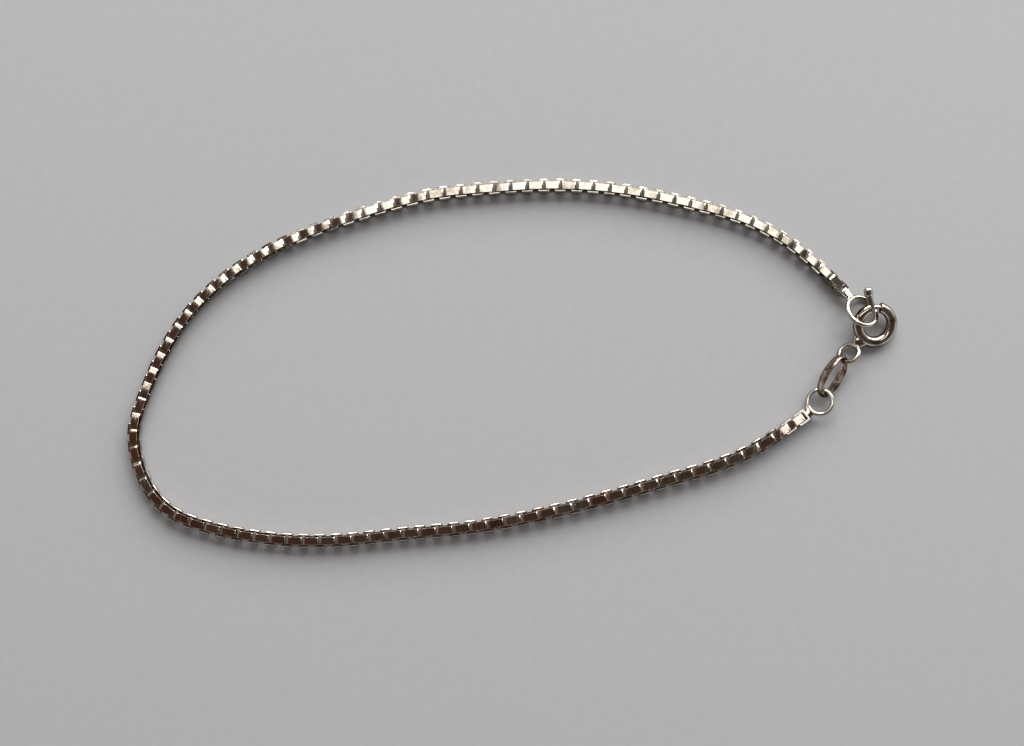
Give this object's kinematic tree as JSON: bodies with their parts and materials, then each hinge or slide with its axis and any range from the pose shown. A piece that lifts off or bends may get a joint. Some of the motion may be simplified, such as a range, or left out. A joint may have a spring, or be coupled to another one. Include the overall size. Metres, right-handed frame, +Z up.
{
  "type": "square box-link chain bracelet with a spring ring clasp, lying closed",
  "caption": "Fine square box-link chain bracelet closed in a loop, with a spring ring clasp, soldered end rings and a leaf-shaped link.",
  "frame": {"origin": "middle of the bracelet's box in X and Y, on the surface that it lies on", "axes": "+X towards the clasp, along the long way of the loop; +Y towards the straighter far side of the loop; +Z up from the surface"},
  "size_m": [0.0838, 0.0401, 0.0026],
  "materials": {
    "chain_near_gold": "polished yellow gold",
    "chain_far_gold": "polished yellow gold",
    "near_ring_gold": "polished yellow gold",
    "far_ring_gold": "polished yellow gold",
    "clasp_gold": "bright polished yellow gold",
    "tongue_gold": "bright polished yellow gold",
    "leaf_gold": "polished yellow gold, finely dented inside"
  },
  "bodies": {
    "bracelet": {"chain_near_half": "chain_near_gold", "chain_far_half": "chain_far_gold", "near_end_ring": "near_ring_gold", "far_end_ring": "far_ring_gold", "clasp_ring": "clasp_gold", "leaf_link": "leaf_gold"},
    "tongue": {"clasp_tongue": "tongue_gold"}
  },
  "joints": [
    {"name": "tongue_slide", "type": "hinge", "parent": "bracelet", "child": "tongue", "pos_m": [0.03947, 0.00416, 0.00108], "axis": [0.1541, -0.2285, 0.9613], "range_deg": [0, 31], "stiffness_Nm_per_rad": 0.005, "springref_deg": -11.46}
  ]
}
